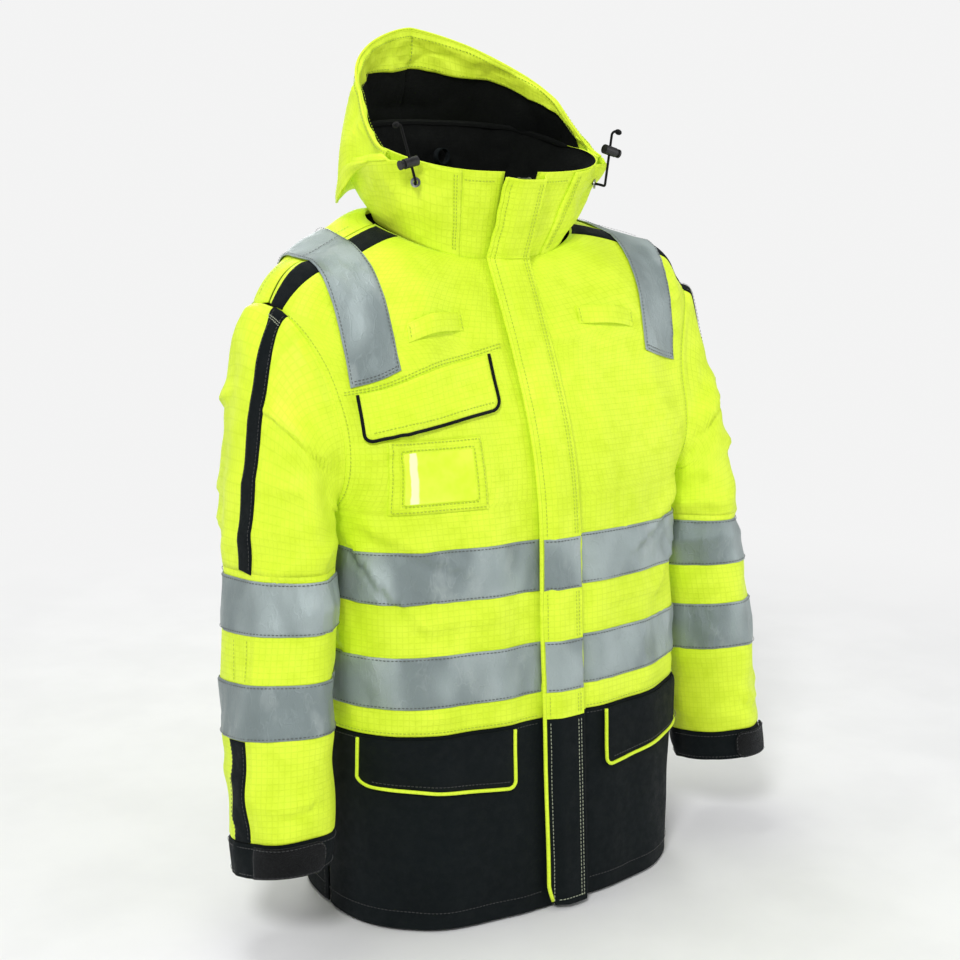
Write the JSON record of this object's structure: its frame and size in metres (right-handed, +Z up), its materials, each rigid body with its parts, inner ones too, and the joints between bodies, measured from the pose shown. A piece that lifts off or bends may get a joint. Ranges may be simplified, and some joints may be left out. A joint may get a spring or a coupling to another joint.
{
  "type": "high-visibility hooded work coat",
  "caption": "Hooded high-visibility work coat standing as if worn, with dark lower panels, reflective hoops and braces, storm flap, pockets and adjustable cuffs.",
  "frame": {"origin": "on the hem's level, in the middle of the coat's width and depth", "axes": "+Z up, the coat's front faces -Y, the wearer's left is +X"},
  "size_m": [0.7412, 0.369, 0.9897],
  "materials": {
    "hi_vis": "fluorescent yellow ripstop",
    "dark": "near-black twill",
    "silver": "retroreflective tape",
    "fleece": "black lining",
    "plastic": "black moulded",
    "metal": "dull grey",
    "window": "clear film"
  },
  "bodies": {
    "torso": {"front_panel_right": "hi_vis", "front_panel_left": "hi_vis", "back_panel": "hi_vis", "lower_front_right": "dark", "lower_front_left": "dark", "lower_back": "dark", "body_lining": "fleece", "waist_tapes": "silver", "braces": "silver", "shoulder_stripes": "dark", "collar": "hi_vis", "collar_lining": "fleece", "hang_loop": "dark", "zip_tape": "dark", "zip_teeth": "plastic", "flap_root": "hi_vis", "collar_flap": "hi_vis", "loop_patches": "fleece", "pocket_bags": "fleece", "badge_holder": "hi_vis", "badge_window": "window", "mic_loops": "hi_vis", "hood_skirt": "hi_vis", "cord_eyelets": "metal", "hood_cords": "plastic"},
    "slider_top": {"zip_slider_top": "metal"},
    "pull_top": {"zip_pull_top": "metal"},
    "slider_bottom": {"zip_slider_bottom": "metal"},
    "pull_bottom": {"zip_pull_bottom": "metal"},
    "flap": {"storm_flap": "hi_vis", "flap_binding": "hi_vis", "flap_tapes": "silver", "hook_patches": "fleece"},
    "pocket_right": {"pocket_flap_right": "dark", "pocket_piping_right": "hi_vis"},
    "pocket_left": {"pocket_flap_left": "dark", "pocket_piping_left": "hi_vis"},
    "chest_pocket": {"chest_flap": "hi_vis", "chest_piping": "dark"},
    "hood": {"hood_shell": "hi_vis", "hood_facing": "hi_vis", "hood_lining": "fleece"},
    "lock_right": {"cord_lock_right": "plastic"},
    "button_right": {"cord_button_right": "plastic"},
    "lock_left": {"cord_lock_left": "plastic"},
    "button_left": {"cord_button_left": "plastic"},
    "arm_right": {"sleeve_upper_right": "fleece", "stripe_upper_right": "dark"},
    "forearm_right": {"sleeve_lower_right": "fleece", "stripe_lower_right": "dark", "sleeve_tapes_right": "silver", "cuff_right": "dark"},
    "tab_right": {"cuff_tab_right": "fleece"},
    "arm_left": {"sleeve_upper_left": "fleece", "stripe_upper_left": "dark"},
    "forearm_left": {"sleeve_lower_left": "fleece", "stripe_lower_left": "dark", "sleeve_tapes_left": "silver", "cuff_left": "dark"},
    "tab_left": {"cuff_tab_left": "fleece"}
  },
  "joints": [
    {"name": "top_slider_travel", "type": "slide", "parent": "torso", "child": "slider_top", "axis": [0, 0.3308, -0.9437], "range_m": [0, 0.055]},
    {"name": "top_pull_swing", "type": "hinge", "parent": "slider_top", "child": "pull_top", "pos_m": [0, -0.05925, 0.81522], "axis": [-1, 0, 0], "range_deg": [0, 4]},
    {"name": "bottom_slider_travel", "type": "slide", "parent": "torso", "child": "slider_bottom", "axis": [0, 0.0845, 0.9964], "range_m": [0, 0.34]},
    {"name": "bottom_pull_swing", "type": "hinge", "parent": "slider_bottom", "child": "pull_bottom", "pos_m": [0, -0.17389, 0.05473], "axis": [-1, 0, 0], "range_deg": [0, 4]},
    {"name": "storm_flap_open", "type": "hinge", "parent": "torso", "child": "flap", "pos_m": [0.027, -0.16919, 0.20139], "axis": [0, 0.0845, 0.9964], "range_deg": [0, 150]},
    {"name": "pocket_flap_right", "type": "hinge", "parent": "torso", "child": "pocket_right", "pos_m": [-0.1658, -0.1381, 0.2194], "axis": [-0.9282, 0.3721, 0], "range_deg": [0, 80]},
    {"name": "pocket_flap_left", "type": "hinge", "parent": "torso", "child": "pocket_left", "pos_m": [0.1658, -0.1381, 0.2194], "axis": [-0.9282, -0.3721, 0], "range_deg": [0, 80]},
    {"name": "chest_flap_lift", "type": "hinge", "parent": "torso", "child": "chest_pocket", "pos_m": [-0.14, -0.0839, 0.6169], "axis": [-0.9859, 0.0195, -0.166], "range_deg": [0, 85]},
    {"name": "hood_raise", "type": "hinge", "parent": "torso", "child": "hood", "pos_m": [0, -0.0137, 0.845], "axis": [1, 0, 0], "range_deg": [0, 25]},
    {"name": "cord_lock_right", "type": "slide", "parent": "torso", "child": "lock_right", "axis": [-0.2396, 0.1392, 0.9609], "range_m": [-0.006, 0.024]},
    {"name": "lock_button_right", "type": "slide", "parent": "lock_right", "child": "button_right", "axis": [0.9703, 0, 0.2419], "range_m": [0, 0.003], "stiffness_N_per_m": 400, "springref_m": -0.002},
    {"name": "cord_lock_left", "type": "slide", "parent": "torso", "child": "lock_left", "axis": [0.2396, 0.1392, 0.9609], "range_m": [-0.02, 0.01]},
    {"name": "lock_button_left", "type": "slide", "parent": "lock_left", "child": "button_left", "axis": [-0.9703, 0, 0.2419], "range_m": [0, 0.003], "stiffness_N_per_m": 400, "springref_m": -0.002},
    {"name": "shoulder_right", "type": "hinge", "parent": "torso", "child": "arm_right", "pos_m": [-0.287, 0.0133, 0.722], "axis": [0, 1, 0], "range_deg": [0, 35]},
    {"name": "elbow_right", "type": "hinge", "parent": "arm_right", "child": "forearm_right", "pos_m": [-0.289, -0.1103, 0.4153], "axis": [-1, 0, 0], "range_deg": [0, 60]},
    {"name": "cuff_tab_right", "type": "hinge", "parent": "forearm_right", "child": "tab_right", "pos_m": [-0.3675, -0.1111, 0.1159], "axis": [-0.0481, -0.1348, -0.9897], "range_deg": [0, 75]},
    {"name": "shoulder_left", "type": "hinge", "parent": "torso", "child": "arm_left", "pos_m": [0.287, 0.0133, 0.722], "axis": [0, -1, 0], "range_deg": [0, 35]},
    {"name": "elbow_left", "type": "hinge", "parent": "arm_left", "child": "forearm_left", "pos_m": [0.289, -0.1103, 0.4153], "axis": [-1, 0, 0], "range_deg": [0, 60]},
    {"name": "cuff_tab_left", "type": "hinge", "parent": "forearm_left", "child": "tab_left", "pos_m": [0.3675, -0.1111, 0.1159], "axis": [-0.0481, 0.1348, 0.9897], "range_deg": [0, 75]}
  ]
}
